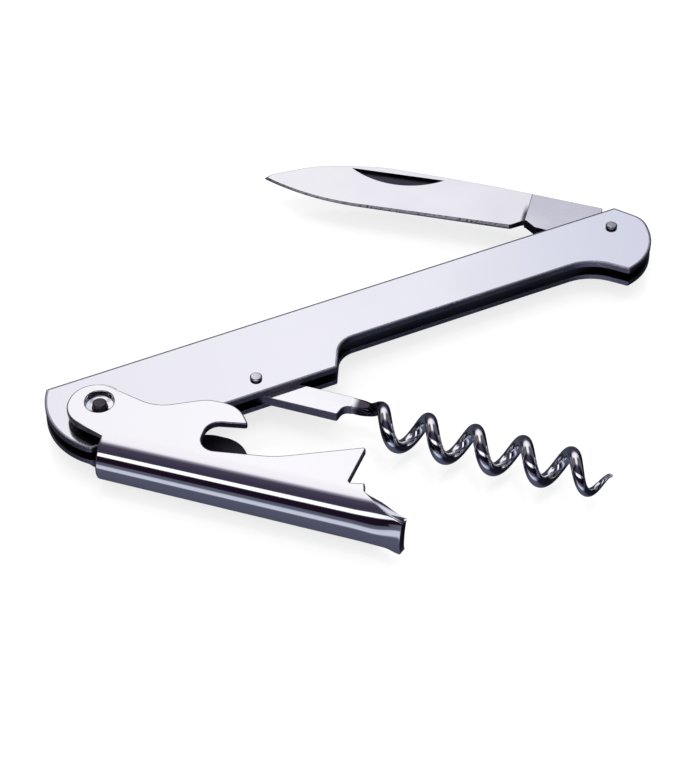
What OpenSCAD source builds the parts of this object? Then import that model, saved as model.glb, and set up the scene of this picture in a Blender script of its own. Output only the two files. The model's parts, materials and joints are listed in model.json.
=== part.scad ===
// Folding lever corkscrew, the kind known as a waiter's friend.
// Two side plates are riveted over a leaf spring. Between and around them turn a pressed boxing
// lever with a cap lifter, a wire worm with a flat forged shank, and a small foil blade.
// Handle frame: the lever pin is at the origin, +X runs along the handle towards the blade pin,
// +Y points to the straight back edge, and Z = 0 is the middle plane between the side plates.

/* [Pose] */
// Opening of the lever from its folded place, degrees
lever_open = 41; // [34:0.5:95]
// Degrees that the worm opens for each degree of the lever
worm_ratio = 1.035; // [1.0:0.005:1.05]
// Opening of the foil blade from its folded place, degrees
blade_open = 39; // [0:1:180]

/* [Handle] */
// Thickness of each side plate
plate_t = 1.1; // [0.8:0.05:1.6]
// Height of the back edge above the lever pin
back_y = 8.3; // [7.6:0.1:9.5]
// Depth of the wide part's front edge below the lever pin
front_y = 6.7; // [6.2:0.1:8]
// Distance from the lever pin to the handle's rounded butt
butt_x = 7.7; // [7:0.1:9]
// Blade pin, distance along the handle from the lever pin
blade_pin_x = 95; // [92:0.5:105]
// Blade pin, height above the lever pin
blade_pin_y = 4.2; // [4:0.05:4.8]
// Worm pin, distance along the handle from the lever pin
worm_pin_x = 25.4; // [24:0.1:28]
// Worm pin, depth below the lever pin
worm_pin_y = 3.5; // [3.3:0.05:3.7]
// Reach of the handle's head past the blade pin
head_x = 6.2; // [5.8:0.1:8]
// Depth of the head's point below the blade pin
head_y = 10.55; // [9.5:0.05:12]

/* [Pins] */
// Diameter of the lever pin
lever_pin_d = 2.3; // [1.8:0.1:2.8]
// Diameter of the worm pin
worm_pin_d = 2; // [1.6:0.1:2.4]
// Diameter of the blade pin
blade_pin_d = 2; // [1.6:0.1:3]
// Height that the worm and blade pins stand proud of the plates
pin_proud = 0.55; // [0.3:0.05:1.1]
// Height that the lever pin stands proud of the dimple's floor
lever_pin_proud = 1; // [0.4:0.05:1.2]
// Bevel round each pin's end
pin_bevel = 0.2; // [0.1:0.05:0.3]

/* [Fits] */
// Radial clearance of a turning part on its pin
pin_clear = 0.05; // [0.02:0.01:0.1]
// Clearance on each side of the tang and the shank between the plates
side_clear = 0.04; // [0.02:0.01:0.1]
// Clearance between the spring and the rounded tangs
tang_clear = 0.08; // [0.05:0.01:0.15]
// Clearance between the ears' dimples and the side plates
dimple_clear = 0.08; // [0.05:0.01:0.2]
// Clearance between the folded worm and the handle's front edge
nest_clear = 0.2; // [0.1:0.05:0.6]

/* [Spring] */
// Thickness of the leaf spring across its blade
spring_t = 1.3; // [1:0.05:1.35]
// Setback of the spring from the handle's front edge
spring_inset = 0.1; // [0:0.05:0.2]
// Radius of the spring's eye round the lever pin
spring_eye_r = 3.2; // [2.4:0.1:4]

/* [Lever] */
// Length of the lever from its pin to the foot
lever_len = 53; // [52:0.5:58]
// Thickness of the lever's sheet
lever_t = 1.1; // [0.8:0.05:1.2]
// Half of the lever's outer height at its pin
lever_h0 = 4.5; // [4.35:0.05:4.8]
// Half of the lever's outer height at the foot
lever_h1 = 5.15; // [5.1:0.05:5.8]
// Depth of the fold's centre line below the lever pin
fold_y = 5.9; // [5.7:0.1:6.6]
// Outward flare of the foot's lip
lip_flare = 0.6; // [0.3:0.1:1.4]
// Length of the flared lip
lip_len = 2.6; // [2:0.1:4]
// Radius of the ear round the lever pin
ear_r = 4.65; // [4.3:0.05:5]
// Where the fold's butt end starts along the lever
fold_x = 2.8; // [2.4:0.1:3.4]
// Radius of the dimple's floor
dimple_r = 2.25; // [2:0.05:2.4]
// Where the cap lifter's notch starts along the lever
notch_x = 18.1; // [17:0.1:20]
// Clear height of the cap lifter's notch
notch_h = 6; // [5.6:0.1:6.4]
// Reach of the cap lifter's hook past the notch's end
hook_reach = 6.2; // [5.4:0.1:7]
// Width of the hook above the notch
hook_w = 4.65; // [4:0.05:5.2]
// Distance of the upper step's wall from the lever pin
step_x = 43.4; // [42:0.1:45]
// Height of the upper step's tooth above the lever pin
tooth_y = 2.3; // [1:0.1:2.6]

/* [Worm] */
// Thickness of the flat stock of the shank and the blade's tang
stock_t = 1.8; // [1.5:0.05:2]
// Outer diameter of the helix
worm_d = 7.6; // [7.2:0.1:7.7]
// Diameter of the wire
wire_d = 2.2; // [2:0.05:2.4]
// Advance of the helix in one turn
worm_pitch = 7.8; // [7:0.1:9]
// Number of turns
worm_turns = 5; // [4:0.25:5.5]
// Number of turns, at the end, over which the wire thins to its point
point_turns = 0.8; // [0.5:0.1:1.2]
// Side step of the helix axis from the worm pin
worm_axis_y = 1.86; // [1.7:0.02:2]
// Length of the flat shank from the worm pin
shank_len = 18; // [17:0.1:20]
// Depth of the shank's front edge below the worm pin
shank_y = 2.45; // [2.2:0.05:2.6]
// Straight wire between the shank and the first turn
straight_len = 2.3; // [1.6:0.1:4]

/* [Blade] */
// Length of the blade from its pin to the point
blade_len = 61.6; // [56:0.1:64]
// Height of the blade's back above its pin
blade_back = 6.5; // [6:0.05:7.5]
// Depth of the cutting edge below its pin
blade_edge = 3.98; // [3.6:0.02:4.05]
// Thickness of the ground blade behind its cutting bevel
grind_t = 1.1; // [0.9:0.05:1.3]
// Width of the cutting bevel
bevel_w = 0.45; // [0.3:0.05:0.7]
// Thickness left at the cutting edge
edge_t = 0.25; // [0.15:0.05:0.5]
// Length of the ground-free tang from the pin
tang_len = 15; // [13:0.1:17]
// Depth of the nail nick
nick_depth = 0.65; // [0.3:0.05:0.75]
// Length of the nail nick
nick_len = 16.6; // [10:0.1:18]
// Where the nail nick's middle lies along the blade
nick_x = 39; // [34:0.5:42]

/* [Hidden] */
$fn = 96;

// The slot between the plates, and the faces measured from the middle plane
slot_w = stock_t + 2 * side_clear;
plate_z = slot_w / 2 + plate_t;
worm_open = lever_open * worm_ratio;

// The folded worm lies along the grip, so its helix sets the grip's front edge
helix_r = (worm_d - wire_d) / 2;
grip_y = -worm_pin_y - worm_axis_y + worm_d / 2 + nest_clear;
spring_low = grip_y + spring_inset;
spring_top = spring_low + spring_t;

// The tangs ride on the spring: their radii reach it, less the clearance
worm_tang_r = spring_low + worm_pin_y - tang_clear;
blade_tang_r = blade_pin_y - spring_top - tang_clear;
blade_heel_x = 2.4;
spring_end_x = blade_pin_x + blade_heel_x - 0.2;

// Side plate corners, each [x, y, corner radius], running round from the butt's back corner
notch_end_x = worm_pin_x + shank_len;
plate_corners = [
    [-butt_x + 1.5, back_y, 0.4], [-butt_x - 3.2, 0, 12.4], [-butt_x + 3.5, -front_y, 0.8],
    [notch_end_x - 5.05, -front_y, 0.3], [notch_end_x - 2.2, grip_y, 4],
    [blade_pin_x - 7.1, grip_y, 9], [blade_pin_x - 2.3, blade_pin_y - head_y, 0.5],
    [blade_pin_x + head_x - 1.7, blade_pin_y - 8.7, 9.5],
    [blade_pin_x + head_x, blade_pin_y - 0.45, 4], [blade_pin_x + head_x - 3.3, back_y, 0.4]
];

// Lever outline seen square to the pin, running round from the fold's butt end.
// It is cut through both flanges and the fold at once, as the blank was before folding.
fold_far = fold_y + lever_h1 + lip_flare + 1;
ear_side = -ear_r - 0.2;
notch_low = -5.4;
lip_slope = 0.44;
// The small tab under the step: its upper corner, and its foot on the cut that runs down to the lip
tab_top = [step_x + 1.85, -4.97];
tab_foot = [step_x + 2.25, -6.6];
lever_corners = [
    [fold_x, -fold_far, 0], [fold_x, -6.75, 0.3], [ear_side, -4.3, ear_r],
    [ear_side, ear_r + 0.19, ear_r], [notch_x - 9.2, 1.5, 7],
    [notch_x - 1.7, notch_low + notch_h + hook_w, 6],
    [notch_x + hook_reach - 2.7, notch_low + notch_h + hook_w - 0.05, 5],
    [notch_x + hook_reach, notch_low + notch_h + 1.15, 0.35], [notch_x, notch_low + notch_h, 2.4],
    [notch_x, notch_low, 2.4], [notch_x + 12.2, -3.5, 15], [step_x + 0.1, tooth_y, 0.4],
    [step_x - 0.65, -5.5, 0.3], [tab_top[0], tab_top[1], 0.2], [tab_foot[0], tab_foot[1], 0.3],
    [lever_len, tab_foot[1] - lip_slope * (lever_len - tab_foot[0]), 0.5], [lever_len, -fold_far, 0]
];
// Half of the lever's outer height at a distance along it
function lever_half(x) = lever_h0 + (lever_h1 - lever_h0) * x / lever_len;
// The lever's lowest point is where the tab's end crosses the fold's centre line
mid_z = lever_half(tab_top[0] + (tab_foot[0] - tab_top[0]) * (fold_y + tab_top[1]) / (tab_top[1] - tab_foot[1]));
dimple_floor_z = plate_z + dimple_clear;

// Blade outline with the pin at the origin, the point along +X and the back up. The corner
// numbered belly is the long curve of the cutting edge; the edge is straight from there to the choil.
belly = 7;
blade_corners = [
    [blade_heel_x, 0, 0], [blade_heel_x, blade_back - 0.95, 0.25], [22, blade_back, 40],
    [blade_len - 19.6, blade_back + 0.1, 30], [blade_len - 8.4, blade_back - 2.35, 20],
    [blade_len - 0.7, 0.45, 3], [blade_len, -1.25, 0], [blade_len - 8.4, -0.29 - blade_edge, 43],
    [tang_len + 2, 1.43 - blade_edge, 1.2], [tang_len + 0.1, 3.4 - blade_edge, 0.8],
    [tang_len - 2.1, 1.75 - blade_edge, 0.4],
    [blade_heel_x, 0.12 - blade_tang_r * cos(asin(blade_heel_x / blade_tang_r)), 0]
];

// Unit vector from one point to another, in the plane
function toward(a, b) = [b[0] - a[0], b[1] - a[1]] / norm([b[0] - a[0], b[1] - a[1]]);
// Half of the turn at a corner, and +1 where the corner turns left
function half_turn(a, p, b) = acos(max(-1, min(1, toward(a, p) * toward(p, b)))) / 2;
function turn_sign(a, p, b) = sign(cross(toward(a, p), toward(p, b)));
// Length of side that a corner's arc would like to take up, and the length that it gets:
// two arcs that share a side leave a little of it straight
function wish(c, i) = let (n = len(c)) c[i][2] * tan(half_turn(c[(i + n - 1) % n], c[i], c[(i + 1) % n]));
function side(c, i, j) = 0.97 * norm([c[j][0] - c[i][0], c[j][1] - c[i][1]]);
function trim(c, i) = let (n = len(c), h = (i + n - 1) % n, j = (i + 1) % n, w = wish(c, i))
    w * min(1, side(c, h, i) / max(w + wish(c, h), 0.001), side(c, i, j) / max(w + wish(c, j), 0.001));
// One rounded corner as [first tangent point, corner, second tangent point, centre, radius, sign]
function rounding(c, i) =
    let (n = len(c), a = c[(i + n - 1) % n], b = c[(i + 1) % n], p = [c[i][0], c[i][1]],
         h = half_turn(a, p, b), t = trim(c, i), r = t / tan(h), s = turn_sign(a, p, b),
         p1 = p - t * toward(a, p), d = toward(a, p))
    [p1, p, p + t * toward(p, b), p1 + r * s * [-d[1], d[0]], r, s];

// Flat outline with true arcs at its corners, which may run either way round
module rounded(corners) {
    n = len(corners);
    area2 = [for (i = [0 : n - 1]) let (j = (i + 1) % n)
        corners[i][0] * corners[j][1] - corners[j][0] * corners[i][1]] * [for (i = [1 : n]) 1];
    arcs = [for (i = [0 : n - 1]) if (corners[i][2] > 0) rounding(corners, i)];
    difference() {
        union() {
            polygon([for (i = [0 : n - 1]) each corners[i][2] > 0
                ? let (k = rounding(corners, i)) [k[0], k[2]] : [[corners[i][0], corners[i][1]]]]);
            for (k = arcs) if (k[5] * area2 > 0) corner_arc(k);
        }
        for (k = arcs) if (k[5] * area2 < 0) corner_arc(k);
    }
}

// The part of a corner's circle beyond its chord. The circle is a hair larger than drawn, so
// that it crosses the two sides near the tangent points instead of only touching them.
hair = 0.0003;
module corner_arc(k) {
    r = k[4] + hair;
    chord = k[2] - k[0];
    spill = 2 * sqrt(2 * r * hair);
    rise = norm(k[1] - (k[0] + k[2]) / 2);
    intersection() {
        translate(k[3]) circle(r = r);
        translate((k[0] + k[2]) / 2) rotate(atan2(chord[1], chord[0]))
            translate([-norm(chord) / 2 - spill, k[5] > 0 ? -rise : -spill])
                square([norm(chord) + 2 * spill, rise + spill]);
    }
}

// A pin along Z, centred, with beveled ends
module rivet(d, length) {
    body = length - 2 * pin_bevel;
    cylinder(d = d, h = body, center = true);
    for (s = [0, 1]) mirror([0, 0, s])
        translate([0, 0, body / 2]) cylinder(d1 = d, d2 = d - 2 * pin_bevel, h = pin_bevel);
}

module side_plate() {
    difference() {
        linear_extrude(plate_t) rounded(plate_corners);
        for (p = [[0, 0, lever_pin_d], [worm_pin_x, -worm_pin_y, worm_pin_d],
                  [blade_pin_x, blade_pin_y, blade_pin_d]])
            translate([p[0], p[1], -1]) cylinder(d = p[2], h = plate_t + 2);
    }
}

module upper_side_plate() {
    color("gainsboro") in_place() translate([0, 0, slot_w / 2]) side_plate();
}

module lower_side_plate() {
    color("silver") in_place() mirror([0, 0, 1]) translate([0, 0, slot_w / 2]) side_plate();
}

// A leaf held at its eye; the worm's tang rides under it and the blade's tang on its end
module leaf_spring() {
    color("slategray") in_place() difference() {
        translate([0, 0, -slot_w / 2]) linear_extrude(slot_w) {
            circle(r = spring_eye_r);
            translate([0, spring_low]) square([spring_end_x, spring_t]);
        }
        cylinder(d = lever_pin_d, h = slot_w + 2, center = true);
    }
}

module lever_pin() {
    color("dimgray") in_place()
        rivet(lever_pin_d, 2 * (dimple_floor_z + lever_t + lever_pin_proud));
}

module worm_pin() {
    color("dimgray") in_place() translate([worm_pin_x, -worm_pin_y, 0])
        rivet(worm_pin_d, 2 * (plate_z + pin_proud));
}

module blade_pin() {
    color("dimgray") in_place() translate([blade_pin_x, blade_pin_y, 0])
        rivet(blade_pin_d, 2 * (plate_z + pin_proud));
}

// Solid form of the lever before it is hollowed: a fold that widens towards the foot, with flat
// cheeks tangent to it; inset is the depth of a parallel form inside it
module lever_form(inset) {
    h0 = lever_half(0) - inset;
    h1 = lever_half(lever_len) - inset;
    lip = lever_half(lever_len - lip_len) - inset;
    translate([0, -fold_y, 0]) {
        rotate([0, 90, 0]) cylinder(r1 = h0, r2 = h1, h = lever_len);
        translate([lever_len - lip_len, 0, 0]) rotate([0, 90, 0])
            cylinder(r1 = lip, r2 = h1 + lip_flare, h = lip_len);
        translate([0, 30, 0]) rotate([90, 0, 0]) linear_extrude(30)
            polygon([[0, -h0], [lever_len, -h1], [lever_len, h1], [0, h0]]);
        ear_h = lever_half(ear_side * 2) - inset;
        translate([0, 30, 0]) rotate([90, 0, 0]) linear_extrude(30)
            polygon([[ear_side * 2, -ear_h], [0, -h0], [0, h0], [ear_side * 2, ear_h]]);
    }
}

// Folded sheet with two ears, two cap lifter hooks, two steps and one flared foot
module boxing_lever() {
    color("whitesmoke") in_place() rotate([0, 0, -lever_open]) difference() {
        union() {
            intersection() {
                difference() {
                    lever_form(0);
                    lever_form(lever_t);
                }
                linear_extrude(4 * lever_h1, center = true) rounded(lever_corners);
            }
            for (s = [0, 1]) mirror([0, 0, s]) translate([0, 0, dimple_floor_z])
                cylinder(r1 = dimple_r + 0.7, r2 = dimple_r + 1.2,
                         h = lever_half(0) - dimple_floor_z - lever_t / 2);
        }
        for (s = [0, 1]) mirror([0, 0, s]) translate([0, 0, dimple_floor_z + lever_t])
            cylinder(r1 = dimple_r, r2 = dimple_r + 0.35, h = lever_half(0) - dimple_floor_z - lever_t + 0.2);
        cylinder(r = lever_pin_d / 2 + pin_clear, h = 4 * lever_h1, center = true);
    }
}

// The wire's centre line leaves the shank straight on its back side and then curls.
// curl() is the turn in degrees at a distance x from the pin; over curl_ramp it picks up speed.
// The wire starts wire_root inside the shank and swells there to its own thickness.
curl_ramp = 3;
wire_root = 1.5;
curl_x = shank_len + straight_len;
worm_tip_x = curl_x + worm_turns * worm_pitch;
function curl(x) = let (d = x - curl_x + curl_ramp / 2)
    360 / worm_pitch * (d <= 0 ? 0 : d < curl_ramp ? d * d / (2 * curl_ramp) : d - curl_ramp / 2);
// How far the wire has thinned towards its point, 0 to 1. It is thinned from inside the coil at
// first, so the coil keeps its width, and only the very point comes in to the axis.
function taper(x) = max(0, 1 + (x - worm_tip_x) / (point_turns * worm_pitch));
function thinned(x) = 0.375 * wire_d * pow(taper(x), 1.2);
function wire_r(x) = min(wire_d / 2, 0.42 * stock_t + max(0, x - shank_len + wire_root) * 0.35) - thinned(x);
function wire_at(x) = let (r = helix_r * (1 - pow(taper(x), 3)) + thinned(x))
    [x, r * cos(curl(x)) - worm_axis_y, r * sin(curl(x))];
function wire_ring(x, sides) =
    let (p = wire_at(x), d = wire_at(x + 0.01) - wire_at(x - 0.01), t = d / norm(d),
         o = [0, cos(curl(x)), sin(curl(x))], q = o - (o * t) * t, n = q / norm(q), b = cross(t, n))
    [for (i = [0 : sides - 1]) p + wire_r(x) * (cos(360 * i / sides) * n + sin(360 * i / sides) * b)];

wire_sides = 14;
wire_steps = 28;
wire_xs = concat(
    [for (x = [shank_len - wire_root : 0.4 : curl_x - curl_ramp / 2 - 0.1]) x],
    [for (x = [curl_x - curl_ramp / 2 : worm_pitch / wire_steps : worm_tip_x - 0.01]) x],
    [worm_tip_x]);

module worm_wire() {
    n = len(wire_xs);
    points = [for (x = wire_xs) each wire_ring(x, wire_sides)];
    sides = [for (k = [0 : n - 2], i = [0 : wire_sides - 1])
        let (j = (i + 1) % wire_sides, a = k * wire_sides, b = a + wire_sides)
        each [[a + i, a + j, b + j], [a + i, b + j, b + i]]];
    caps = [[for (i = [wire_sides - 1 : -1 : 0]) i],
            [for (i = [0 : wire_sides - 1]) (n - 1) * wire_sides + i]];
    polyhedron(points, [for (f = concat(sides, caps)) [for (i = [len(f) - 1 : -1 : 0]) f[i]]]);
}

// The shank's front edge: where it reaches its full depth, the radius of the bow there, and the
// length of the neck that steps back to the wire
shoulder_x = 3.4;
shoulder_r = 12;
neck_len = 3;

// Flat forged shank, necked down to the wire in front of the handle's notch
module worm() {
    wire_low = 2 * helix_r - worm_d / 2 - worm_axis_y;
    wire_back = worm_d / 2 - worm_axis_y;
    color("lightslategray") in_place() translate([worm_pin_x, -worm_pin_y, 0])
        rotate([0, 0, -worm_open]) difference() {
            union() {
                translate([0, 0, -stock_t / 2]) linear_extrude(stock_t) {
                    circle(r = worm_tang_r);
                    rounded([[0, wire_back, 0], [0, -worm_tang_r, 0], [shoulder_x, -shank_y, shoulder_r],
                             [shank_len - neck_len - 0.5, -shank_y, 0.4],
                             [shank_len - neck_len, wire_low, 1.4],
                             [shank_len, wire_low, 0], [shank_len, wire_back, 0]]);
                }
                worm_wire();
            }
            cylinder(r = worm_pin_d / 2 + pin_clear, h = stock_t + 2, center = true);
        }
}

// A reach past both edges of the blade, for its cutting forms
past = 20;

// Everything inside the cutting bevels: a cone on each side follows the belly's curve, and a
// wedge follows the straight edge from the belly's tangent point back to the choil
module inside_bevels() {
    k = rounding(blade_corners, belly);
    rise = (grind_t - edge_t) / 2 / bevel_w;
    lead = edge_t / 2 / rise;
    inward = stock_t / rise - lead;
    along = toward(k[2], k[1]);
    for (s = [0, 1]) mirror([0, 0, s]) translate(k[3])
        cylinder(r1 = k[4] + hair + lead, r2 = k[4] + hair - inward, h = stock_t);
    translate(k[2]) rotate(atan2(along[1], along[0])) translate([-blade_len, 0, 0])
        rotate([90, 0, 90]) linear_extrude(blade_len) polygon([
            [-lead, 0], [inward, stock_t], [past, stock_t], [past, -stock_t], [inward, -stock_t]]);
}

// Blade with a round tang, a heel that stops it when open, and a nick. Past the tang it is ground
// a little thinner towards the edge on both faces, and the edge itself has a short steep bevel.
module foil_blade() {
    half = stock_t / 2;
    thinning = (half - grind_t / 2) / (blade_back + blade_edge);
    low_y = -blade_edge - 1;
    low_z = half - thinning * (blade_back - low_y);
    nick_y = blade_back - 1.14;
    nick_h = 2.7;
    nick_r = (nick_len * nick_len / 4 + nick_h * nick_h) / (2 * nick_h);
    color("lightgray") in_place() translate([blade_pin_x, blade_pin_y, 0])
        rotate([0, 0, -blade_open]) mirror([1, 0, 0]) difference() {
            union() {
                intersection() {
                    translate([0, 0, -half]) linear_extrude(stock_t) rounded(blade_corners);
                    union() {
                        translate([-1, -past, -half]) cube([tang_len + 1, 2 * past, stock_t]);
                        intersection() {
                            rotate([90, 0, 90]) linear_extrude(blade_len + 1) polygon([
                                [low_y, -low_z], [blade_back, -half], [past, -half],
                                [past, half], [blade_back, half], [low_y, low_z]]);
                            inside_bevels();
                        }
                    }
                }
                translate([0, 0, -half]) linear_extrude(stock_t) circle(r = blade_tang_r);
            }
            cylinder(r = blade_pin_d / 2 + pin_clear, h = stock_t + 2, center = true);
            // The nick's cutter leans: deepest at its straight upper edge, it runs out at its arc
            translate([nick_x, nick_y, 0]) rotate([0, 0, -2.6]) intersection() {
                translate([0, nick_r - nick_h, 0]) cylinder(r = nick_r, h = stock_t);
                translate([0, 0, half - nick_depth])
                    rotate([atan(thinning) - atan(nick_depth / nick_h), 0, 0])
                        translate([-nick_len, -2 * nick_h, 0])
                            cube([2 * nick_len, 2 * nick_h, stock_t]);
            }
        }
}

// From the handle frame to the part's own: its box is centred on the origin and stands on Z = 0.
// The box is found from the points that each piece reaches furthest with, turned to its pose.
function turned(p, a) = [p[0] * cos(a) + p[1] * sin(a), p[1] * cos(a) - p[0] * sin(a)];
// Points along the arcs of a rounded outline
function outline_points(corners) = [for (i = [0 : len(corners) - 1]) each corners[i][2] > 0
    ? let (k = rounding(corners, i)) [for (t = [0 : 0.1 : 1])
        let (d = k[0] + t * (k[2] - k[0]) - k[3]) k[3] + k[4] * d / norm(d)]
    : [[corners[i][0], corners[i][1]]]];
reach = concat(
    outline_points(plate_corners),
    [for (p = outline_points(blade_corners))
        [blade_pin_x, blade_pin_y] + turned([-p[0], p[1]], blade_open)],
    [for (p = [[lever_len, -fold_y - lever_h1 - lip_flare], [fold_x, -fold_y - lever_h0],
               [step_x, tooth_y]]) turned(p, lever_open)],
    [for (x = wire_xs) [worm_pin_x, -worm_pin_y - wire_r(x)] + turned(wire_at(x), worm_open)]);
reach_x = [for (p = reach) p[0]];
reach_y = [for (p = reach) p[1]];
in_place_x = -(max(reach_x) + min(reach_x)) / 2;
in_place_y = -(max(reach_y) + min(reach_y)) / 2;
module in_place() {
    translate([in_place_x, in_place_y, mid_z]) children();
}

upper_side_plate();
lower_side_plate();
leaf_spring();
lever_pin();
worm_pin();
blade_pin();
boxing_lever();
worm();
foil_blade();
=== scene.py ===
import json

import bpy
import numpy as np
from mathutils import Euler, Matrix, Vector
from mathutils.geometry import tessellate_polygon


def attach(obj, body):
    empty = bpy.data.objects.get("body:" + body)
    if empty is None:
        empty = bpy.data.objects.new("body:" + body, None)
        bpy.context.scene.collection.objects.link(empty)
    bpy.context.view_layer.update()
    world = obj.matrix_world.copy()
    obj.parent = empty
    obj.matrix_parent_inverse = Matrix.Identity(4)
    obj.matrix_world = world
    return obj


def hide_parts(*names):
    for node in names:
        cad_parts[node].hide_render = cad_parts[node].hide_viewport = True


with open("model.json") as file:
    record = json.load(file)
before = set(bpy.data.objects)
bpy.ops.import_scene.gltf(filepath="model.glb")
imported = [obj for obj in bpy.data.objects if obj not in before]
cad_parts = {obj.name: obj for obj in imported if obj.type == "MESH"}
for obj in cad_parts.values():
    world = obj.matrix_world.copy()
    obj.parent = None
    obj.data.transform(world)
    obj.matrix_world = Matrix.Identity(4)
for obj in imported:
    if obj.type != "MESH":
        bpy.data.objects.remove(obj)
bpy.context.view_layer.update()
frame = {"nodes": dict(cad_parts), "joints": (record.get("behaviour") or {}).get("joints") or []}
nodes = frame["nodes"]
pivots = {j["name"]: np.array(j["pos_m"]) * 1000 for j in frame["joints"]}
leverPin = pivots["lever_pivot"]  # millimetres; every piece below is drawn round its own pin


# points drawn round a pin, turned clockwise by degrees, in metres of the part's own frame
def placed(points, pin, turn=0.0, flip=False):
    p = np.array(points, float).reshape(-1, 3)
    if flip:
        p[:, 0] *= -1
    a = np.radians(turn)
    x = p[:, 0] * np.cos(a) + p[:, 1] * np.sin(a)
    y = p[:, 1] * np.cos(a) - p[:, 0] * np.sin(a)
    return (np.stack([x, y, p[:, 2]], 1) + pin) / 1000


# directions turned alike
def turned(vectors, turn=0.0, flip=False):
    return placed(vectors, np.zeros(3), turn, flip) * 1000


# part is (points, faces, normals, one material slot per face), still round its pin in millimetres
def makePiece(name, part, pin, turn=0.0, flip=False):
    points, faces, normals, slots = part
    if flip:
        faces = [face[::-1] for face in faces]
    mesh = bpy.data.meshes.new(name)
    mesh.from_pydata(placed(points, pin, turn, flip).tolist(), [], faces)
    mesh.polygons.foreach_set("material_index", np.array(slots, np.int32))
    mesh.polygons.foreach_set("use_smooth", np.ones(len(faces), bool))
    mesh.normals_split_custom_set_from_vertices(turned(normals, turn, flip).tolist())
    mesh.update()
    piece = bpy.data.objects.new(name, mesh)
    bpy.context.scene.collection.objects.link(piece)
    return piece


# quads of a grid of points stored row by row
def gridFaces(rows, columns, closedRows=False, closedColumns=False, start=0, flip=False):
    r = np.arange(rows if closedRows else rows - 1)
    c = np.arange(columns if closedColumns else columns - 1)
    i, j = np.meshgrid(r, c, indexing="ij")
    i2, j2 = (i + 1) % rows, (j + 1) % columns
    quads = np.stack([i * columns + j, i * columns + j2, i2 * columns + j2, i2 * columns + j], -1)
    quads = quads.reshape(-1, 4) + start
    return (quads[:, ::-1] if flip else quads).tolist()


# normals of a smooth grid, from the steps along its rows and columns
def gridNormals(points, closedRows=False, closedColumns=False, flip=False):
    def steps(p, axis, closed):
        if closed:
            return np.roll(p, -1, axis) - np.roll(p, 1, axis)
        return np.gradient(p, axis=axis)
    n = np.cross(steps(points, 1, closedColumns), steps(points, 0, closedRows))
    n /= np.maximum(np.linalg.norm(n, axis=2), 1e-12)[..., None]
    return (-n if flip else n).reshape(-1, 3)


# rises from 0 at low to 1 at high, level at both ends: 3 t * t - 2 t * t * t
def smoothStep(x, low, high):
    t = np.clip((x - low) / (high - low), 0, 1)
    return t * t * (3 - 2 * t)


# points and outward normals along a closed outline of [x, y, radius] corners: each corner becomes
# an arc tangent to its two sides, and arcs that share a short side shrink alike
def roundedOutline(corners, sag=0.004):
    c = np.array(corners, float)
    p, n = c[:, :2], len(c)
    before, after = np.roll(p, 1, 0), np.roll(p, -1, 0)
    u = (p - before) / np.linalg.norm(p - before, axis=1)[:, None]
    v = (after - p) / np.linalg.norm(after - p, axis=1)[:, None]
    half = np.arccos(np.clip((u * v).sum(1), -1, 1)) / 2
    left = np.sign(u[:, 0] * v[:, 1] - u[:, 1] * v[:, 0])
    wish = c[:, 2] * np.tan(half)
    side = 0.97 * np.linalg.norm(after - p, axis=1)
    share = side / np.maximum(wish + np.roll(wish, -1), 1e-3)
    cut = wish * np.minimum(1, np.minimum(share, np.roll(share, 1)))
    spin = np.sign((p[:, 0] * after[:, 1] - after[:, 0] * p[:, 1]).sum())
    points, outs = [], []
    for k in range(n):
        if cut[k] < 1e-6:
            mitre = (u[k] + v[k]) / np.linalg.norm(u[k] + v[k]) / np.cos(half[k])
            points.append(p[k][None])
            outs.append((np.array([mitre[1], -mitre[0]]) * spin)[None])
            continue
        r = cut[k] / np.tan(half[k])
        centre = p[k] - cut[k] * u[k] + r * left[k] * np.array([-u[k][1], u[k][0]])
        steps = max(2, int(np.ceil(2 * half[k] / (2 * np.arccos(1 - min(0.5, sag / r))))))
        a0 = np.arctan2(*(p[k] - cut[k] * u[k] - centre)[::-1])
        a = a0 + left[k] * 2 * half[k] * np.linspace(0, 1, steps + 1)
        ring = np.stack([np.cos(a), np.sin(a)], 1)
        points.append(centre + r * ring)
        outs.append(ring * left[k] * spin)
    points, outs = np.concatenate(points), np.concatenate(outs)
    return (points, outs) if spin > 0 else (points[::-1], outs[::-1])


# the part of a closed outline on one side of a line x = cut
def clipped(outline, outs, cut, keepRight):
    points, normals = [], []
    sign = 1 if keepRight else -1
    for k in range(len(outline)):
        a, b = outline[k], outline[(k + 1) % len(outline)]
        if sign * (a[0] - cut) >= 0:
            points.append(a)
            normals.append(outs[k])
        if (a[0] - cut) * (b[0] - cut) < 0:
            s = (cut - a[0]) / (b[0] - a[0])
            leaving = sign * (a[0] - cut) > 0
            square = np.array([-sign, 0.0])
            points += [a + s * (b - a)] * 2
            normals += [outs[k], square] if leaving else [square, outs[(k + 1) % len(outline)]]
    return np.array(points), np.array(normals)


# rings round a rounded edge from the lower face to the upper: inset, height, and the normal's
# sideways and upward shares. The upper edge is a quarter ellipse, wide times its depth across.
def edgeRings(low, high, lowR, highR, wide=1.0, steps=5):
    bow = np.radians(np.linspace(0, 90, steps))
    rings = [(lowR * (1 - np.sin(b)), low + lowR * (1 - np.cos(b)), np.sin(b), -np.cos(b)) for b in bow]
    for b in bow[::-1]:
        tilt = np.arctan2(np.sin(b), wide * np.cos(b))
        rings.append((wide * highR * (1 - np.sin(b)), high - highR * (1 - np.cos(b)),
                      np.sin(tilt), np.cos(tilt)))
    return rings


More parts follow.
